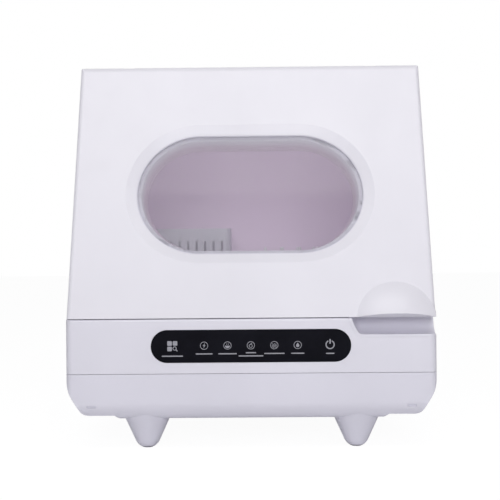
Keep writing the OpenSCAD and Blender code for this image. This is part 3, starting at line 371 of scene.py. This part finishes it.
def arc(x, z, r, start=0.0, end=360.0, count=40):
    """Points on an arc, in degrees; a full turn leaves out the last, which is the first."""
    full = abs(end - start) >= 360
    steps = count if full else count - 1
    return [(x + r * math.cos(math.radians(start + (end - start) * i / steps)),
             z + r * math.sin(math.radians(start + (end - start) * i / steps))) for i in range(count)]


def ring(bm, x, z, r, width, start=0.0, end=360.0):
    loop_shape(bm, arc(x, z, r, start, end), arc(x, z, r - width, start, end))


def rounded(x, z, w, h, r):
    """The outline of a rectangle with round corners."""
    points = []
    for cx, cz, start in ((1, 1, 0), (-1, 1, 90), (-1, -1, 180), (1, -1, 270)):
        points += arc(x + cx * (w / 2 - r), z + cz * (h / 2 - r), r, start, start + 90, 6)
    return points


def stroke(bm, points, width=LINE_W):
    """A line of even width through points."""
    for (x0, z0), (x1, z1) in zip(points, points[1:]):
        length = math.dist((x0, z0), (x1, z1))
        nx, nz = (z0 - z1) / length * width / 2, (x1 - x0) / length * width / 2
        loop_shape(bm, [(x0 + nx, z0 + nz), (x1 + nx, z1 + nz), (x1 - nx, z1 - nz), (x0 - nx, z0 - nz)])


def select_icon(bm):
    """Three tiles and a magnifier."""
    for x, z in ((-3.1, 3.5), (3.1, 3.5), (-3.1, -2.7)):
        loop_shape(bm, rounded(x, z, 5.2, 5.2, 1.0))
    ring(bm, 2.6, -2.2, 2.3, 0.8)
    stroke(bm, [(4.2, -3.9), (5.7, -5.4)], 0.9)


def bolt_marks(bm):
    loop_shape(bm, [(0.9, 3.0), (-1.7, -0.4), (0.0, -0.4)])
    loop_shape(bm, [(-0.9, -3.0), (1.7, 0.4), (0.0, 0.4)])
    loop_shape(bm, [(-0.6, -0.5), (0.6, 0.5), (0.9, 1.2), (-0.4, 0.9)])


def bowl_marks(bm):
    loop_shape(bm, arc(0, -0.2, 2.8, 180, 360, 16))
    for x in (-0.9, 0.9):
        stroke(bm, [(x, 0.8), (x, 2.2)])


def fruit_marks(bm):
    ring(bm, -0.2, -0.6, 2.1, LINE_W)
    stroke(bm, [(-0.2, 1.3), (0.3, 2.2), (1.5, 2.6)])


def wave_marks(bm):
    for z in (1.2, -0.4, -2.0):
        stroke(bm, [(-2.6 + i * 0.4, z + 0.5 * math.sin(i)) for i in range(14)])


def drop_marks(bm):
    loop_shape(bm, [(0, 2.7)] + arc(0, -0.6, 1.8, 35, -215, 18)[::-1])


def key_icon(bm, marks):
    """A key's ring with its own marks inside."""
    ring(bm, 0, 0, KEY_RING_R, LINE_W)
    marks(bm)


def power_icon(bm):
    ring(bm, 0, 0, 5.2, 1.3, 115, 425)
    stroke(bm, [(0, 0.9), (0, 6.2)], 1.5)


def label_bars(bm, width, rows):
    """Blank bars where a real panel has its words."""
    for i in range(rows):
        w = width * (1.0 if i == rows - 1 else SHORT_ROW)
        loop_shape(bm, rounded(0, -ROW_PITCH * i, w, BAR_H, BAR_CORNER))


def add_object(name, data):
    obj = bpy.data.objects.new(name, data)
    bpy.context.scene.collection.objects.link(obj)
    return obj


def add_print(name, x, z, draw, *args):
    """A print on the lens, x in metres from the middle and z in mm above the lens's middle."""
    bm = bmesh.new()
    draw(bm, *args)
    bmesh.ops.scale(bm, vec=(MM, MM, MM), verts=bm.verts)
    bmesh.ops.translate(bm, vec=(x, LENS_LOW.y - PRINT_T / 2, LENS_Z + z * MM), verts=bm.verts)
    for face in bm.faces:
        if face.normal.y > 0:
            face.normal_flip()
    mesh = bpy.data.meshes.new(name)
    bm.to_mesh(mesh)
    bm.free()
    obj = add_object(name, mesh)
    mesh.materials.append(finish("panel_print"))
    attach(obj, "cabinet")


def print_panel():
    add_print("print_select", SELECT_X, 0.0, select_icon)
    add_print("label_select", SELECT_X, -10.9, label_bars, 24.0, 1)
    marks = (bolt_marks, bowl_marks, fruit_marks, wave_marks, drop_marks)
    labels = ((-8.6, 19.0, 1), (-8.6, 21.0, 1), (-7.6, 28.0, 2), (-8.6, 23.0, 1), (-8.6, 15.0, 1))
    for i, x in enumerate(KEY_X):
        label_z, width, rows = labels[i]
        add_print(f"print_key_{i + 1}", x, 0.7, key_icon, marks[i])
        add_print(f"label_key_{i + 1}", x, label_z, label_bars, width, rows)
    add_print("print_power", POWER_X, 0.9, power_icon)
    add_print("label_power", POWER_X, -9.0, label_bars, 9.5, 1)


# Camera, lights and the white room
def add_camera():
    data = bpy.data.cameras.new("camera")
    data.lens = LENS_MM
    data.sensor_width = SENSOR_MM
    data.clip_start = 0.01
    data.clip_end = 50.0
    cam = add_object("camera", data)
    yaw = Matrix.Rotation(-math.radians(CAMERA_YAW), 4, "Z")
    level = Matrix.Rotation(math.radians(90), 4, "X")
    roll = Matrix.Rotation(math.radians(CAMERA_ROLL), 4, "Z")
    place = Matrix.Translation((CAMERA_X, FRONT_Y - CAMERA_AWAY, CAMERA_Z))
    cam.matrix_world = place @ yaw @ level @ roll
    bpy.context.scene.camera = cam


def add_area(name, place, aim, size, power, colour=(1, 1, 1)):
    """A rectangular lamp that looks at a point; its power is in watts."""
    data = bpy.data.lights.new(name, "AREA")
    data.shape = "RECTANGLE"
    data.size, data.size_y = size
    data.energy = power
    data.color = colour
    lamp = add_object(name, data)
    lamp.location = place
    lamp.rotation_euler = (Vector(aim) - Vector(place)).to_track_quat("-Z", "Y").to_euler()
    return lamp


def light_room():
    """A wide lamp above, a farther one from the front, and a trace of light inside the tub."""
    add_area("key_above", place=(0.0, -1.0, 1.5), aim=(0, -0.1, 0.3), size=(1.5, 0.6), power=9.0,
             colour=(1, 1, 0.97))
    add_area("front_fill", place=(0.1, -2.5, 0.85), aim=(0, 0, 0.26), size=(1.0, 0.7), power=17.5)
    cavity = add_area("cavity_fill", place=(0, 0.0, 0.392), aim=(0, 0.12, 0.22), size=(0.24, 0.08),
                      power=0.15)
    cavity.visible_camera = False
    cavity.visible_glossy = False


def either(tree, a, b):
    """One where at least one of two ray tests is."""
    node = tree.nodes.new("ShaderNodeMath")
    node.operation = "ADD"
    node.use_clamp = True
    tree.links.new(a, node.inputs[0])
    tree.links.new(b, node.inputs[1])
    return node.outputs[0]


def background(tree, colour, strength):
    node = tree.nodes.new("ShaderNodeBackground")
    node.inputs["Color"].default_value = colour
    node.inputs["Strength"].default_value = strength
    return node.outputs[0]


def mix_shaders(tree, fac, a, b, out):
    """Ends a material or the world in the shader a where fac is 0, and b where it is 1."""
    node = tree.nodes.new("ShaderNodeMixShader")
    for i, socket in enumerate((fac, a, b)):
        tree.links.new(socket, node.inputs[i])
    tree.links.new(node.outputs[0], out.inputs["Surface"])


def white_world():
    """A dim even room that the camera, reflections and glass see as white."""
    world = bpy.data.worlds.new("room")
    bpy.context.scene.world = world
    world.use_nodes = True
    tree = world.node_tree
    tree.nodes.clear()
    path = tree.nodes.new("ShaderNodeLightPath")
    seen = either(tree, path.outputs["Is Camera Ray"], path.outputs["Is Glossy Ray"])
    seen = either(tree, seen, path.outputs["Is Transmission Ray"])
    room = background(tree, (0.97, 0.97, 1.0, 1), ROOM_LIGHT)
    white = background(tree, (1, 1, 1, 1), BACKDROP_WHITE)
    mix_shaders(tree, seen, room, white, tree.nodes.new("ShaderNodeOutputWorld"))


def floor_material():
    """A matt white floor that glows enough to meet the backdrop, and still takes a soft shadow."""
    mat = bpy.data.materials.new("floor_white")
    mat.use_nodes = True
    tree = mat.node_tree
    shader = tree.nodes["Principled BSDF"]
    shader.inputs["Base Color"].default_value = (0.95, 0.95, 0.96, 1)
    shader.inputs["Roughness"].default_value = 0.9
    shader.inputs["Specular IOR Level"].default_value = 0.0
    path = tree.nodes.new("ShaderNodeLightPath")
    glow = tree.nodes.new("ShaderNodeEmission")
    glow.inputs["Strength"].default_value = FLOOR_GLOW
    share = tree.nodes.new("ShaderNodeMath")
    share.operation = "MULTIPLY"
    share.inputs[1].default_value = FLOOR_GLOW_SHARE
    tree.links.new(path.outputs["Is Camera Ray"], share.inputs[0])
    mix_shaders(tree, share.outputs[0], shader.outputs[0], glow.outputs[0], tree.nodes["Material Output"])
    return mat


def add_floor():
    bm = bmesh.new()
    bmesh.ops.create_grid(bm, x_segments=2, y_segments=2, size=FLOOR_HALF)
    mesh = bpy.data.meshes.new("floor")
    bm.to_mesh(mesh)
    bm.free()
    floor = add_object("floor", mesh)
    floor.location = (0, 0, FLOOR_Z)
    mesh.materials.append(floor_material())


bpy.context.scene.view_settings.view_transform = "Standard"
finish_nodes()
print_panel()
add_camera()
white_world()
add_floor()
light_room()
